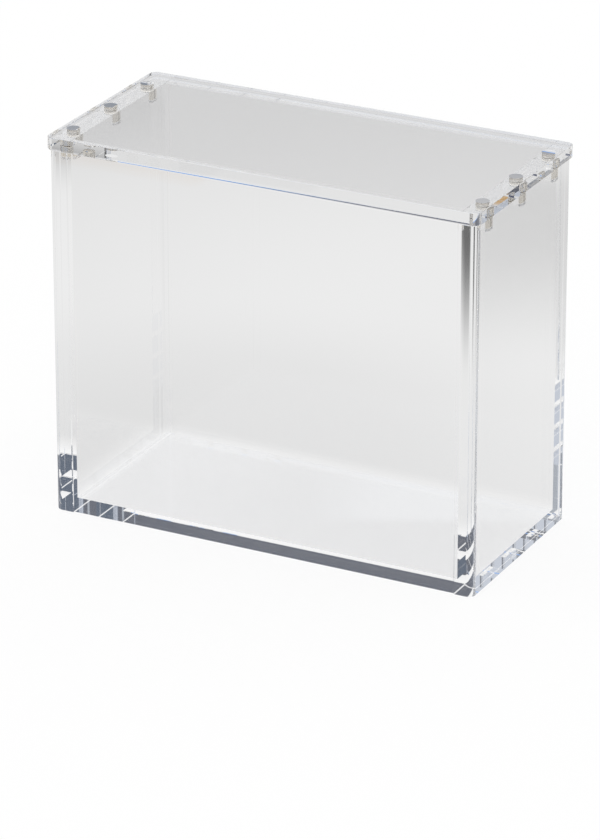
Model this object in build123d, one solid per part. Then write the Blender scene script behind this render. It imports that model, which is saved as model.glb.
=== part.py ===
from build123d import *
import os

# Trading card display case: a clear box of bonded acrylic sheets, open at the top, and a loose
# flat lid that small disc magnets pull down onto the side panels.
#
# Millimetres. +Z is up, the front window faces -Y, and the origin is the middle of the underside.

# ---- driving dimensions ----------------------------------------------------------------------

outer_width = 208.0          # X, over the outer faces of the two side panels
outer_depth = 96.5           # Y, from a side panel's front edge to its back edge
wall_height = 172.5          # Z, from the shelf to the top edges that carry the lid

side_thickness = 9.1         # thick enough to take the magnets; sold as 10 mm sheet
front_thickness = 5.75       # sheet sold as 6 mm comes out a little thinner
back_thickness = 5.75
base_thickness = 5.75
lid_thickness = 6.0

panel_setback = 0.8          # the front and back panels lie this far inside the side panels' edges
lid_overhang = 1.0           # the lid stands this far outside the side panels, all round
lid_seat_gap = 0.1           # air that is left under the lid by sheets that are not quite flat

side_edge_radius = 3.4       # the four outer upright edges of the box
lid_corner_radius = 3.5      # the lid's four corners, seen from above
edge_break = 0.25            # small bevel on the box's polished edges that are not bonded
lid_top_break = 0.1          # the lid's upper edges are left almost sharp
lid_bottom_break = 0.45      # and its lower edges get a wider bevel, where fingers lift it

magnet_diameter = 6.0
lid_magnet_length = 3.0
wall_magnet_length = 5.0
magnet_end_distance = 14.75  # from a side panel's front or back edge to the nearest magnet's axis
magnet_edge_break = 0.2      # bevel of a magnet's rims
magnet_recess = 0.1          # a magnet's free end lies this far inside the face it is set in

pocket_side_clearance = 0.05     # glue all round a magnet
lid_pocket_clearance = 0.1       # glue at the hidden end of a lid magnet
wall_pocket_clearance = 1.2      # the wall pockets are drilled deeper than their magnets

# ---- places that follow from them ------------------------------------------------------------

inner_width = outer_width - 2 * side_thickness
front_outer_y = -outer_depth / 2 + panel_setback
front_inner_y = front_outer_y + front_thickness
back_outer_y = outer_depth / 2 - panel_setback
back_inner_y = back_outer_y - back_thickness
lid_underside_z = wall_height + lid_seat_gap
lid_top_z = lid_underside_z + lid_thickness

magnet_x = (outer_width - side_thickness) / 2        # on the middle of a side panel's top edge
magnet_y = outer_depth / 2 - magnet_end_distance
side_signs = {"left": -1, "right": 1}
row_signs = {"front": -1, "middle": 0, "back": 1}

STANDING = (Align.CENTER, Align.CENTER, Align.MIN)   # a solid that stands on its own z = 0
HANGING = (Align.CENTER, Align.CENTER, Align.MAX)    # a solid that hangs below its own z = 0


# ---- magnets and the pockets that take them --------------------------------------------------

def magnet(length, align):
    """A disc magnet with both rims broken."""
    disc = Cylinder(magnet_diameter / 2, length, align=align)
    return chamfer(disc.edges().filter_by(GeomType.CIRCLE), magnet_edge_break)


def pocket(magnet_length, end_clearance, align):
    """The blind hole for a magnet, measured from the face that it opens in."""
    radius = magnet_diameter / 2 + pocket_side_clearance
    depth = magnet_recess + magnet_length + end_clearance
    return Cylinder(radius, depth, align=align)


def lid_magnet(x, y):
    return Pos(x, y, lid_underside_z + magnet_recess) * magnet(lid_magnet_length, STANDING)


def wall_magnet(x, y):
    return Pos(x, y, wall_height - magnet_recess) * magnet(wall_magnet_length, HANGING)


# ---- the bonded box --------------------------------------------------------------------------

def right_side_panel():
    """Side sheet over the full depth and height, with three blind pockets in its top edge."""
    panel = Pos(magnet_x, 0, 0) * Box(side_thickness, outer_depth, wall_height, align=STANDING)
    uprights = panel.edges().filter_by(Axis.Z).sort_by(Axis.X)
    panel = chamfer(uprights[:2], edge_break)                    # against the windows
    uprights = panel.edges().filter_by(Axis.Z).sort_by(Axis.X)
    panel = fillet(uprights[-2:], side_edge_radius)              # outside corners of the box
    top_rim = panel.faces().sort_by(Axis.Z)[-1].edges().sort_by(Axis.X)
    panel = chamfer(top_rim[1:], edge_break)                     # all but the bonded inside edge
    bottom_rim = panel.faces().sort_by(Axis.Z)[0].edges().sort_by(Axis.X)
    panel = chamfer(bottom_rim[1:], edge_break)
    for row in row_signs.values():
        mouth = Pos(magnet_x, row * magnet_y, wall_height)
        panel -= mouth * pocket(wall_magnet_length, wall_pocket_clearance, HANGING)
    return panel


def window_panel(outer_y, inner_y):
    """Front or back sheet, bonded between the side panels from the shelf to the lid."""
    middle_y = (outer_y + inner_y) / 2
    thickness = abs(outer_y - inner_y)
    panel = Pos(0, middle_y, 0) * Box(inner_width, thickness, wall_height, align=STANDING)
    long_edges = panel.edges().filter_by(Axis.X)
    top_edges = long_edges.group_by(Axis.Z)[-1]
    bottom_edges = long_edges.group_by(Axis.Z)[0]
    outer_bottom_edge = bottom_edges.sort_by(lambda edge: abs(edge.center().Y))[-1]
    return chamfer([*top_edges, outer_bottom_edge], edge_break)


def base_panel():
    """Floor sheet, bonded to the four walls along its edges."""
    middle_y = (front_inner_y + back_inner_y) / 2
    depth = back_inner_y - front_inner_y
    return Pos(0, middle_y, 0) * Box(inner_width, depth, base_thickness, align=STANDING)


# ---- the lid ---------------------------------------------------------------------------------

def lid_panel():
    """Flat lid with rounded corners and six blind pockets in its underside."""
    width = outer_width + 2 * lid_overhang
    depth = outer_depth + 2 * lid_overhang
    panel = Pos(0, 0, lid_underside_z) * Box(width, depth, lid_thickness, align=STANDING)
    panel = fillet(panel.edges().filter_by(Axis.Z), lid_corner_radius)
    panel = chamfer(panel.faces().sort_by(Axis.Z)[-1].edges(), lid_top_break)
    panel = chamfer(panel.faces().sort_by(Axis.Z)[0].edges(), lid_bottom_break)
    for side in side_signs.values():
        for row in row_signs.values():
            mouth = Pos(side * magnet_x, row * magnet_y, lid_underside_z)
            panel -= mouth * pocket(lid_magnet_length, lid_pocket_clearance, STANDING)
    return panel


# ---- one file for each piece -----------------------------------------------------------------

right_side = right_side_panel()
pieces = {
    "base_panel": base_panel(),
    "front_panel": window_panel(front_outer_y, front_inner_y),
    "back_panel": window_panel(back_outer_y, back_inner_y),
    "left_side_panel": mirror(right_side, about=Plane.YZ),
    "right_side_panel": right_side,
    "lid_panel": lid_panel(),
}
for side_name, side in side_signs.items():
    for row_name, row in row_signs.items():
        x = side * magnet_x
        y = row * magnet_y
        pieces[f"lid_magnet_{side_name}_{row_name}"] = lid_magnet(x, y)
        pieces[f"wall_magnet_{side_name}_{row_name}"] = wall_magnet(x, y)

os.makedirs("parts", exist_ok=True)
for node, shape in pieces.items():
    export_step(shape, f"parts/{node}.step")
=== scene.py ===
# %% [markdown]
# # A clear display case for boxed trading cards
#
# The case is a box of bonded acrylic sheets with a loose lid, and small disc magnets hold the lid
# down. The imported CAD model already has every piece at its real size, so this script adds what CAD
# doesn't hold: how the acrylic bends and traps light, how the magnets shine, and a studio around them.

# %% Load the frame
import math

import bpy
import bmesh
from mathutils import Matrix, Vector


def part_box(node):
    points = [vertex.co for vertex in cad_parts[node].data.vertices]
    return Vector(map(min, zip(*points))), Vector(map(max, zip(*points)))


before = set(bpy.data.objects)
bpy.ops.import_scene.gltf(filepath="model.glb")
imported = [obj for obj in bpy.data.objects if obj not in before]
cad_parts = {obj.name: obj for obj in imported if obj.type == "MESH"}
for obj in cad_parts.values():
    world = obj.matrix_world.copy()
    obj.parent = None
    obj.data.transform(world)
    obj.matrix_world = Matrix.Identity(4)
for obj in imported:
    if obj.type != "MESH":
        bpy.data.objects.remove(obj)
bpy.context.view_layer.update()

# %% [markdown]
# ## Sizes
#
# Every place below is worked out from the boxes of the CAD nodes, in metres. The finishes of joints,
# edges and magnet pockets are then found by place, and if a sheet gets thicker in CAD they follow it.

# %% Read the sheets' sizes from the frame
side_low, side_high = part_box("right_side_panel")
front_low, front_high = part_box("front_panel")
base_low, base_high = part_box("base_panel")
lid_low, lid_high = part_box("lid_panel")

inner_half_width = side_low[0]       # the face that the windows and the base are bonded to
window_outer_y = -front_low[1]
window_inner_y = -front_high[1]
floor_top_z = base_high[2]
wall_top_z = side_high[2]
lid_underside_z, lid_top_z = lid_low[2], lid_high[2]
print("inside half width %.4f, window %.4f to %.4f" % (inner_half_width, window_inner_y, window_outer_y))

# %% Read the magnets' sizes
magnet_low, magnet_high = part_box("wall_magnet_right_back")
magnet_x = (magnet_low[0] + magnet_high[0]) / 2
magnet_y = (magnet_low[1] + magnet_high[1]) / 2
magnet_radius = (magnet_high[0] - magnet_low[0]) / 2
magnet_foot_z = magnet_low[2]
print("magnets at %.4f, %.4f, radius %.4f" % (magnet_x, magnet_y, magnet_radius))

# %% [markdown]
# ## Camera
#
# A product photographer stands well back with a long lens, so that upright edges stay nearly
# parallel. The camera looks down on the lid from the front right. The small shift frames the case
# high in the picture without tilting the camera.

# %% Camera
picture_width, picture_height = 600, 840
camera_azimuth = math.radians(27.13)
camera_elevation = math.radians(22.24)
camera_distance = 2.202
focal_in_pixels = 4959.7
centre_x, centre_y = 309.49, 336.15          # where the case's middle lies in the picture
aim = Vector((0, 0, 0.086))

towards_camera = Vector((
    math.sin(camera_azimuth) * math.cos(camera_elevation),
    -math.cos(camera_azimuth) * math.cos(camera_elevation),
    math.sin(camera_elevation),
))
camera_data = bpy.data.cameras.new("camera")
camera = bpy.data.objects.new("camera", camera_data)
bpy.context.collection.objects.link(camera)
camera.location = aim + towards_camera * camera_distance
camera.rotation_euler = towards_camera.to_track_quat("Z", "Y").to_euler()
camera_data.sensor_fit = "VERTICAL"
camera_data.sensor_height = 36
camera_data.lens = focal_in_pixels * camera_data.sensor_height / picture_height
camera_data.shift_x = -(centre_x - picture_width / 2) / picture_height
camera_data.shift_y = (centre_y - picture_height / 2) / picture_height
camera_data.clip_start = 0.05
camera_data.clip_end = 50
bpy.context.scene.camera = camera
print("lens %.1f mm, shift %.4f %.4f" % (camera_data.lens, camera_data.shift_x, camera_data.shift_y))

# %% [markdown]
# ## How light travels
#
# A ray that gets into thick acrylic can bounce dozens of times between its faces before it leaves.
# If the renderer gives up early, those places turn black, so the limits are raised far above what
# an opaque object needs. Clear rays are cheap, so this costs little time.

# %% Light paths
scene = bpy.context.scene
scene.view_settings.view_transform = "Standard"
most_bounces = 512
scene.cycles.max_bounces = most_bounces
scene.cycles.transmission_bounces = most_bounces
scene.cycles.glossy_bounces = most_bounces
scene.cycles.transparent_max_bounces = most_bounces
print("bounces:", scene.cycles.max_bounces)

# %% [markdown]
# ## Small helpers for materials
#
# The room, the table and the finishes are all node trees. Written out in full, every Math node would
# take four lines, so a few helpers build the usual ones: a sum or test, a soft step, and a colour mix.

# %% Sums and tests


def maths(tree, operation, first, second=None, third=None):
    """A Math node. Each input is a number or another node's socket."""
    node = tree.nodes.new("ShaderNodeMath")
    node.operation = operation
    for socket, value in zip(node.inputs, (first, second, third)):
        if value is None:
            continue
        if isinstance(value, (int, float)):
            socket.default_value = value
        else:
            tree.links.new(value, socket)
    return node.outputs[0]


def every(tree, *tests):
    """1 where all the tests are 1."""
    result = tests[0]
    for test in tests[1:]:
        result = maths(tree, "MULTIPLY", result, test)
    return result


# %% Soft steps and colour mixes


def smooth(tree, value, start, end, low, high):
    """A soft step: low up to start, high from end on."""
    node = tree.nodes.new("ShaderNodeMapRange")
    node.interpolation_type = "SMOOTHSTEP"
    tree.links.new(value, node.inputs["Value"])
    node.inputs["From Min"].default_value = start
    node.inputs["From Max"].default_value = end
    node.inputs["To Min"].default_value = low
    node.inputs["To Max"].default_value = high
    return node.outputs["Result"]


def fade_in(tree, value, start, end):
    """0 up to start, 1 from end on."""
    return smooth(tree, value, start, end, 0, 1)


def fade_out(tree, value, start, end):
    """1 up to start, 0 from end on."""
    return smooth(tree, value, start, end, 1, 0)


def mix_colours(tree, factor, first, second):
    """A colour mix. Each colour is a triple or another node's socket."""
    node = tree.nodes.new("ShaderNodeMix")
    node.data_type = "RGBA"
    tree.links.new(factor, node.inputs["Factor"])
    for socket, value in ((node.inputs[6], first), (node.inputs[7], second)):
        if isinstance(value, tuple):
            socket.default_value = (*value, 1)
        else:
            tree.links.new(value, socket)
    return node.outputs[2]


# %% New materials and places on them


def new_material(name):
    """A material with an empty node tree and its output."""
    material = bpy.data.materials.new(name)
    material.use_nodes = True
    tree = material.node_tree
    tree.nodes.clear()
    output = tree.nodes.new("ShaderNodeOutputMaterial")
    return material, tree, output


def places(tree, kind="Object"):
    """The x, y and z of the shaded point, and the same three as one vector."""
    coords = tree.nodes.new("ShaderNodeTexCoord")
    split = tree.nodes.new("ShaderNodeSeparateXYZ")
    tree.links.new(coords.outputs[kind], split.inputs[0])
    return (*split.outputs, coords.outputs[kind])


# %% Rays that have met the case


def seen_in_acrylic_or_metal(tree):
    """1 for a ray that has just left acrylic or metal, 0 for all others."""
    path = tree.nodes.new("ShaderNodeLightPath")
    return maths(tree, "MAXIMUM", path.outputs["Is Glossy Ray"], path.outputs["Is Transmission Ray"])


white = (1.0, 1.0, 1.0)
print("white is", white)

# %% [markdown]
# ## The room around the case
#
# Clear acrylic has no colour of its own. All that an eye sees in it is the room: the table through
# the windows, and the far wall in the base and the lid's edges, turned upside down by the bounces.
# So the room matters more than any setting of the acrylic. A white sweep rises behind the table,
# and above it the wall turns from pale to dark slate. A narrow grey panel leans on it, and softens
# the dark in the case's back right edge. In front the room is a cool light grey with a blue window
# high up on the left. White softboxes hang over the rest, from the right round to the back and
# straight overhead. Only rays that have met acrylic or metal see that room. Everything else sees
# plain white, so the studio light stays plain and soft.

# %% A world that knows its directions
world = bpy.data.worlds.new("studio")
scene.world = world
world.use_nodes = True
tree = world.node_tree
tree.nodes.clear()
output = tree.nodes.new("ShaderNodeOutputWorld")
background = tree.nodes.new("ShaderNodeBackground")
tree.links.new(background.outputs[0], output.inputs[0])
direction_x, direction_y, direction_z, _ = places(tree, "Generated")
print("world:", world.name)

# %% [markdown]
# ### Walls
#
# A direction is a vector of length 1, so its z is the sine of its height above the horizon: 0.26 is
# 15 degrees up, and 0.86 is 59 degrees up. Each pair of numbers below is a border between two colours:
# where it starts to change and where the change is complete. Long bounces pick out very small parts
# of the room, which is why a few of the borders are narrow.

# %% The wall behind, on the left
white_sweep = (0.85, 0.85, 0.85)
pale_wall = (0.38, 0.38, 0.39)
slate_wall = (0.115, 0.125, 0.155)
sweep_to_wall = (0.26, 0.325)
slate_foot = smooth(tree, direction_x, -0.6, -0.7, 0.36, 0.32)       # lower on the far left
slate_blur = 0.04

over_sweep = fade_in(tree, direction_z, *sweep_to_wall)
over_slate_foot = fade_in(tree, maths(tree, "SUBTRACT", direction_z, slate_foot), 0, slate_blur)
behind_left = mix_colours(tree, over_sweep, white_sweep, pale_wall)
behind_left = mix_colours(tree, over_slate_foot, behind_left, slate_wall)
print("left wall turns to slate between 0.32 and 0.40")

# %% The grey panel that leans on it
grey_panel = (0.37, 0.4, 0.45)
panel_left, panel_right = (-0.42, -0.4), (-0.3, -0.27)
panel_bottom, panel_top = (0.36, 0.38), (0.4115, 0.4135)

on_panel = every(tree, fade_in(tree, direction_x, *panel_left), fade_out(tree, direction_x, *panel_right),
                 fade_in(tree, direction_z, *panel_bottom), fade_out(tree, direction_z, *panel_top))
behind_left = mix_colours(tree, on_panel, behind_left, grey_panel)
print("panel from", panel_left[0], "to", panel_right[1])

# %% The wall behind, on the right
grey_wall = (0.54, 0.54, 0.55)
dark_wall = (0.1, 0.125, 0.17)
grey_to_dark = (0.36, 0.4)
left_to_right = (0.05, 0.3)

behind_right = mix_colours(tree, fade_in(tree, direction_z, *grey_to_dark), grey_wall, dark_wall)
behind = mix_colours(tree, fade_in(tree, direction_x, *left_to_right), behind_left, behind_right)
print("right wall turns dark between", *grey_to_dark)

# %% The side in front, with its blue window
light_side = (0.52, 0.56, 0.64)
clear_blue, night_blue = (0.12, 0.34, 0.8), (0.015, 0.03, 0.1)
side_to_window = (0.5, 0.65)
clear_to_night = (0.822, 0.84)
back_to_front = (0.3, -0.3)

blue_window = mix_colours(tree, fade_in(tree, direction_z, *clear_to_night), clear_blue, night_blue)
in_front = mix_colours(tree, fade_in(tree, direction_z, *side_to_window), light_side, blue_window)
room = mix_colours(tree, fade_in(tree, direction_y, *back_to_front), behind, in_front)
print("blue window from", side_to_window[0], "up")

# %% Softboxes, everywhere but at the front left, and straight overhead
softbox_foot = (0.455, 0.615)
overhead_edge = (0.86, 0.9)

not_front_left = maths(tree, "MAXIMUM", fade_in(tree, direction_x, -0.2, 0.1),
                       fade_in(tree, direction_y, -0.1, 0.2))
around = every(tree, fade_in(tree, direction_z, *softbox_foot), not_front_left)
softbox = maths(tree, "MAXIMUM", around, fade_in(tree, direction_z, *overhead_edge))
room = mix_colours(tree, softbox, room, white)
surroundings = mix_colours(tree, seen_in_acrylic_or_metal(tree), white, room)
tree.links.new(surroundings, background.inputs[0])
print("room nodes:", len(tree.nodes))

# %% [markdown]
# ## The table
#
# One large pale plane, so that the horizon never shows. Straight from the camera it is white and
# keeps a soft shadow of the case. Through the acrylic it shows painted light instead: a painted glow
# under the case, a painted soft shadow just behind it, and a painted pool of light that fades with
# distance. A painted unlit strip behind the case on the right draws the dark upright line in the
# case's near corner. At the front left a painted patch, wood orange with a dark side, stands in for a
# block that isn't there, and paints the orange and black glints in the lid's end.

# %% Table mesh
table_half_size = 30
gap_under_case = 0.00005                     # keeps the two surfaces from lying in one place

table_mesh = bpy.data.meshes.new("table")
build = bmesh.new()
bmesh.ops.create_grid(build, x_segments=1, y_segments=1, size=table_half_size)
bmesh.ops.translate(build, verts=build.verts, vec=(0, 0, -gap_under_case))
build.to_mesh(table_mesh)
build.free()
table = bpy.data.objects.new("table", table_mesh)
bpy.context.collection.objects.link(table)
print("table corners:", len(table_mesh.vertices))

# %% Places on the table
material, tree, output = new_material("table_white")
right, back, _, _ = places(tree)


def distance_from(tree, x, y):
    """How far a point of the table is from one place on it."""
    off_x = maths(tree, "SUBTRACT", right, x)
    off_y = maths(tree, "SUBTRACT", back, y)
    return maths(tree, "SQRT", maths(tree, "ADD", maths(tree, "MULTIPLY", off_x, off_x),
                                     maths(tree, "MULTIPLY", off_y, off_y)))


# %% The painted pool of light and the painted soft shadow of the case, in metres from the case's middle
pool_middle, pool_rim = (-0.03, 0.24), (0.06, 0.36)
shadow_middle, shadow_rim = (-0.07, 0.06), (0.06, 0.19)

painted_pool = smooth(tree, distance_from(tree, *pool_middle), *pool_rim, 0.85, 0.76)
painted_soft_shadow = smooth(tree, distance_from(tree, *shadow_middle), *shadow_rim, 0.915, 1)
print("pool of light round", *pool_middle)

# %% The painted unlit strip, painted shade that runs from the back to the right
strip_slope = 0.8
strip_near_side, strip_far_side = (0.34, 0.56), (0.61, 0.7)
strip_front_end, strip_back_end = (0.02, 0.12), (0.43, 0.49)
painted_strip_shade = 0.86

over_strip = maths(tree, "MULTIPLY_ADD", back, strip_slope, right)
on_painted_unlit_strip = every(tree, fade_in(tree, over_strip, *strip_near_side),
                 fade_out(tree, over_strip, *strip_far_side),
                 fade_in(tree, back, *strip_front_end), fade_out(tree, back, *strip_back_end))
# the painted pool, the painted soft shadow and the painted unlit strip together
painted_lit = every(tree, painted_pool, painted_soft_shadow, maths(tree, "MULTIPLY_ADD", on_painted_unlit_strip, -painted_strip_shade, 1))
print("strip lets through %.2f of the light" % (1 - painted_strip_shade))

# %% The painted glow under the case, painted light a little stronger on the left
glow_side_rim, glow_front_rim = (0.095, 0.125), (0.04, 0.07)
painted_glow_under_case = every(tree, fade_out(tree, maths(tree, "ABSOLUTE", right), *glow_side_rim),
                   fade_out(tree, maths(tree, "ABSOLUTE", back), *glow_front_rim),
                   smooth(tree, right, -0.1, 0.1, 0.3, 0.2))
painted_brightness = maths(tree, "ADD", painted_lit, painted_glow_under_case)
print("brightness nodes:", len(tree.nodes))

# %% A painted patch on the table, wood orange with a dark side, that paints glints in the lid's end
# painted glint colours, seen only through the acrylic, where they show as orange and black glints
painted_glint_orange, painted_glint_dark = (0.62, 0.4, 0.18), (0.05, 0.055, 0.08)
glint_patch_x = -0.3
glint_patch_end = (0.05, 0.06)                     # half its length
glint_patch_back, glint_patch_front = (-0.436, -0.444), (-0.52, -0.53)
orange_to_dark = (-0.452, -0.462)

# the table's colour, carrying the painted pool, shadow, strip and glow
paper_with_painted_light = tree.nodes.new("ShaderNodeCombineColor")
for channel in paper_with_painted_light.inputs:
    tree.links.new(painted_brightness, channel)
painted_glint_colour = mix_colours(tree, fade_in(tree, back, *orange_to_dark), painted_glint_orange, painted_glint_dark)
from_glint_patch = maths(tree, "ABSOLUTE", maths(tree, "SUBTRACT", right, glint_patch_x))
on_glint_patch = every(tree, fade_out(tree, from_glint_patch, *glint_patch_end), fade_in(tree, back, *glint_patch_back),
                 fade_out(tree, back, *glint_patch_front))
seen_colour = mix_colours(tree, on_glint_patch, paper_with_painted_light.outputs[0], painted_glint_colour)
print("block %.2f m long" % (2 * glint_patch_end[1]))

# %% The table's material
own_light = 0.9                              # the rest comes from the studio, and so takes a shadow
studio_light = 0.1

plain = tree.nodes.new("ShaderNodeEmission")
plain.inputs["Color"].default_value = (own_light, own_light, own_light, 1)
matt = tree.nodes.new("ShaderNodeBsdfDiffuse")
matt.inputs["Color"].default_value = (studio_light, studio_light, studio_light, 1)
direct = tree.nodes.new("ShaderNodeAddShader")
tree.links.new(plain.outputs[0], direct.inputs[0])
tree.links.new(matt.outputs[0], direct.inputs[1])
through = tree.nodes.new("ShaderNodeEmission")
tree.links.new(seen_colour, through.inputs["Color"])
choice = tree.nodes.new("ShaderNodeMixShader")
tree.links.new(seen_in_acrylic_or_metal(tree), choice.inputs[0])
tree.links.new(direct.outputs[0], choice.inputs[1])
tree.links.new(through.outputs[0], choice.inputs[2])
tree.links.new(choice.outputs[0], output.inputs[0])
table_mesh.materials.append(material)
print("table material nodes:", len(tree.nodes))

# %% [markdown]
# ## Acrylic: where sheets are bonded
#
# The sheets are cemented with a thin solvent that melts them into one another, so a good joint
# can't be seen. In CAD the two faces of a joint still lie against each other, and a ray would
# bend or bounce there. The finish finds those faces by their place and makes them fully see-through,
# so light runs from sheet to sheet as it does in the real case. The same is done to the walls of the
# magnet pockets, where clear glue fills the gap and lets each disc's round side show.
#
# A little cement always runs out of a joint. Under the base it leaves a hair-thin line along both
# side panels, through which the bright table shows. Mirrored in the sheets, the two lines become the
# thin white streaks that slant across the dark corners.

# %% Places on the acrylic
acrylic, tree, output = new_material("clear_acrylic")
x, y, up, position = places(tree)
across = maths(tree, "ABSOLUTE", x)
along = maths(tree, "ABSOLUTE", y)
tolerance = 2e-5                             # how far off a point may lie and still be on a face
print("acrylic starts with", len(tree.nodes), "nodes")

# %% Bonded faces
top_bevel = 0.0003                           # the joints end where the walls' top bevels begin

on_side = maths(tree, "COMPARE", across, inner_half_width, tolerance)
on_window = maths(tree, "COMPARE", along, window_inner_y, tolerance)
in_window_depth = maths(tree, "GREATER_THAN", along, window_inner_y - tolerance)
in_base_height = maths(tree, "LESS_THAN", up, floor_top_z + tolerance)
within_windows = maths(tree, "LESS_THAN", along, window_outer_y + tolerance)
below_top = maths(tree, "LESS_THAN", up, wall_top_z - top_bevel)
within_sides = maths(tree, "LESS_THAN", across, inner_half_width + tolerance)
side_zone = maths(tree, "MAXIMUM", in_window_depth, in_base_height)
side_joint = every(tree, on_side, side_zone, within_windows, below_top)
base_joint = every(tree, on_window, in_base_height, within_sides)
bonded = maths(tree, "MAXIMUM", side_joint, base_joint)
print("joints at %.4f across and %.4f along" % (inner_half_width, window_inner_y))

# %% Inside a magnet pocket
glue_gap = 0.00008
off_axis_x = maths(tree, "SUBTRACT", across, magnet_x)
from_outer_row = maths(tree, "ABSOLUTE", maths(tree, "SUBTRACT", along, magnet_y))
off_axis_y = maths(tree, "MINIMUM", along, from_outer_row)
off_axis = maths(tree, "SQRT", maths(tree, "ADD", maths(tree, "MULTIPLY", off_axis_x, off_axis_x),
                                     maths(tree, "MULTIPLY", off_axis_y, off_axis_y)))
in_pocket = maths(tree, "LESS_THAN", off_axis, magnet_radius + glue_gap)
print("pocket radius %.5f" % (magnet_radius + glue_gap))

# %% Glued and open parts of the pockets
mouth_gap = 0.00005                          # a pocket's mouth is left out of the glue
foot_gap = 0.0001
drill_reach = 0.002                          # the drill goes no deeper than this below a magnet

in_lid = maths(tree, "GREATER_THAN", up, lid_underside_z + mouth_gap)
beside_wall_magnet = every(tree, maths(tree, "GREATER_THAN", up, magnet_foot_z - foot_gap),
                           maths(tree, "LESS_THAN", up, wall_top_z - mouth_gap))
glued = every(tree, in_pocket, maths(tree, "MAXIMUM", in_lid, beside_wall_magnet))
drilled = every(tree, in_pocket, maths(tree, "LESS_THAN", up, magnet_foot_z - foot_gap),
                maths(tree, "GREATER_THAN", up, magnet_foot_z - drill_reach))
print("wall magnets glued from %.4f up" % (magnet_foot_z - foot_gap))

# %% The cement that is squeezed out under the base, along both side panels
seam_half_width = 0.0004
seam_strength = 0.75
from_seam = maths(tree, "ABSOLUTE", maths(tree, "SUBTRACT", across, inner_half_width))
squeezed_out = every(tree, maths(tree, "LESS_THAN", up, tolerance),
                     maths(tree, "LESS_THAN", from_seam, seam_half_width), seam_strength)
see_through = maths(tree, "MAXIMUM", maths(tree, "MAXIMUM", bonded, glued), squeezed_out)
print("seam %.1f mm wide" % (2000 * seam_half_width))

# %% [markdown]
# ## Acrylic: the surface
#
# Acrylic bends light a little less than window glass, so its index is 1.49. Its broad faces are cast
# against glass and stay mirror smooth, with a waviness that is only a few micrometres deep. The two
# thick sides are flatter, so the bump leaves them out. The drill leaves the bottoms of the pockets
# frosted white. The lid is what hands touch, so its top carries a few hairline scratches. All of
# this is roughness and bump, because the colour is none.

# %% Hairlines on the lid
hairline_place = tree.nodes.new("ShaderNodeMapping")
hairline_place.inputs["Rotation"].default_value = (0, 0, math.radians(24))
hairline_place.inputs["Scale"].default_value = (18, 900, 1)          # long one way, thin the other
tree.links.new(position, hairline_place.inputs["Vector"])
hairlines = tree.nodes.new("ShaderNodeTexNoise")
hairlines.inputs["Scale"].default_value = 1
hairlines.inputs["Detail"].default_value = 1
tree.links.new(hairline_place.outputs[0], hairlines.inputs["Vector"])
on_lid_top = maths(tree, "GREATER_THAN", up, lid_top_z - tolerance)
scratched = every(tree, on_lid_top, fade_in(tree, hairlines.outputs["Fac"], 0.74, 0.8))
print("hairlines above %.4f" % lid_top_z)

# %% Roughness
hairline_roughness, drilled_roughness = 0.12, 0.55
roughness = maths(tree, "MAXIMUM", maths(tree, "MULTIPLY", scratched, hairline_roughness),
                  maths(tree, "MULTIPLY", drilled, drilled_roughness))
print("roughest place:", drilled_roughness)

# %% Bump: the slight waviness of cast sheet
waves = tree.nodes.new("ShaderNodeTexNoise")
waves.inputs["Scale"].default_value = 14
waves.inputs["Detail"].default_value = 0
tree.links.new(position, waves.inputs["Vector"])
wavy = tree.nodes.new("ShaderNodeBump")
wavy.inputs["Distance"].default_value = 0.000002
tree.links.new(maths(tree, "LESS_THAN", across, inner_half_width), wavy.inputs["Strength"])
tree.links.new(waves.outputs["Fac"], wavy.inputs["Height"])
print("waviness in metres: %.6f" % wavy.inputs["Distance"].default_value)

# %% The clear shader
clear = tree.nodes.new("ShaderNodeBsdfPrincipled")
tree.links.new(clear.outputs[0], output.inputs[0])
clear.inputs["Base Color"].default_value = (1, 1, 1, 1)
clear.inputs["Transmission Weight"].default_value = 1
clear.inputs["IOR"].default_value = 1.49
tree.links.new(roughness, clear.inputs["Roughness"])
tree.links.new(wavy.outputs[0], clear.inputs["Normal"])
tree.links.new(maths(tree, "SUBTRACT", 1, see_through), clear.inputs["Alpha"])
print("acrylic nodes:", len(tree.nodes))

# %% [markdown]
# ## Magnets
#
# Small disc magnets are pressed powder under a thin coat of nickel. The coat is bright but a little
# pebbled, like orange peel, and warmer than steel. Its shine is softest on the flat ends, where the
# glue has hazed it, so the roughness wanders, and a fine bump breaks the reflections up.

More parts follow.
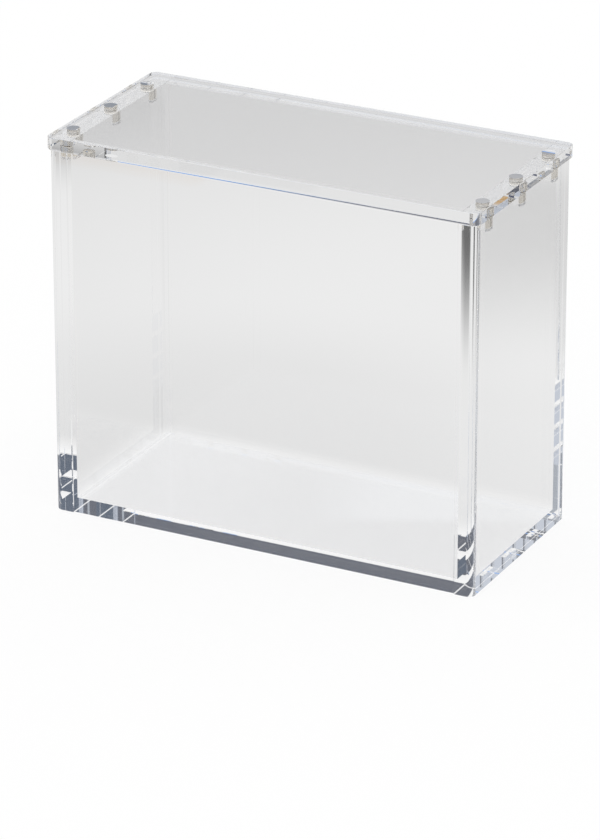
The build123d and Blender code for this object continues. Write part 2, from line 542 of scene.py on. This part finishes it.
# %% Haze and pebbles
nickel, tree, output = new_material("magnet_nickel")
_, _, _, position = places(tree)
haze = tree.nodes.new("ShaderNodeTexNoise")
haze.inputs["Scale"].default_value = 260
haze.inputs["Detail"].default_value = 1
tree.links.new(position, haze.inputs["Vector"])
pebbles = tree.nodes.new("ShaderNodeTexNoise")
pebbles.inputs["Scale"].default_value = 2600
tree.links.new(position, pebbles.inputs["Vector"])
pebbled = tree.nodes.new("ShaderNodeBump")
pebbled.inputs["Strength"].default_value = 0.05
pebbled.inputs["Distance"].default_value = 0.00002
tree.links.new(pebbles.outputs["Fac"], pebbled.inputs["Height"])
print("pebbles about %.1f mm across" % (1000 / pebbles.inputs["Scale"].default_value))

# %% Bright sides and hazy ends
side_roughness, end_roughness = 0.14, 0.65
facing = tree.nodes.new("ShaderNodeNewGeometry")
facing_up = tree.nodes.new("ShaderNodeSeparateXYZ")
tree.links.new(facing.outputs["Normal"], facing_up.inputs[0])
upright = maths(tree, "ABSOLUTE", facing_up.outputs["Z"])
shine = smooth(tree, upright, 0.8, 0.95, side_roughness, end_roughness)
wander = smooth(tree, haze.outputs["Fac"], 0.3, 0.7, -0.05, 0.07)
print("roughness from %.2f to %.2f" % (side_roughness, end_roughness))

# %% The nickel shader
darker_nickel, lighter_nickel = (0.76, 0.72, 0.65), (0.82, 0.79, 0.74)
metal = tree.nodes.new("ShaderNodeBsdfPrincipled")
tree.links.new(metal.outputs[0], output.inputs[0])
metal.inputs["Metallic"].default_value = 1
tint = mix_colours(tree, haze.outputs["Fac"], darker_nickel, lighter_nickel)
tree.links.new(tint, metal.inputs["Base Color"])
tree.links.new(maths(tree, "ADD", shine, wander), metal.inputs["Roughness"])
tree.links.new(pebbled.outputs[0], metal.inputs["Normal"])
print("nickel nodes:", len(tree.nodes))

# %% [markdown]
# ## Put the finishes on
#
# The six sheets get the acrylic and the twelve discs get the nickel. Nothing is moved or replaced:
# the CAD solids already have the shapes, bevels and rounded corners that the finishes need.

# %% Assign
counts = {"acrylic": 0, "nickel": 0}
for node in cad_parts:
    is_magnet = "magnet" in node
    for slot in bpy.data.objects[node].material_slots:
        slot.material = nickel if is_magnet else acrylic
    counts["nickel" if is_magnet else "acrylic"] += 1
print(counts)
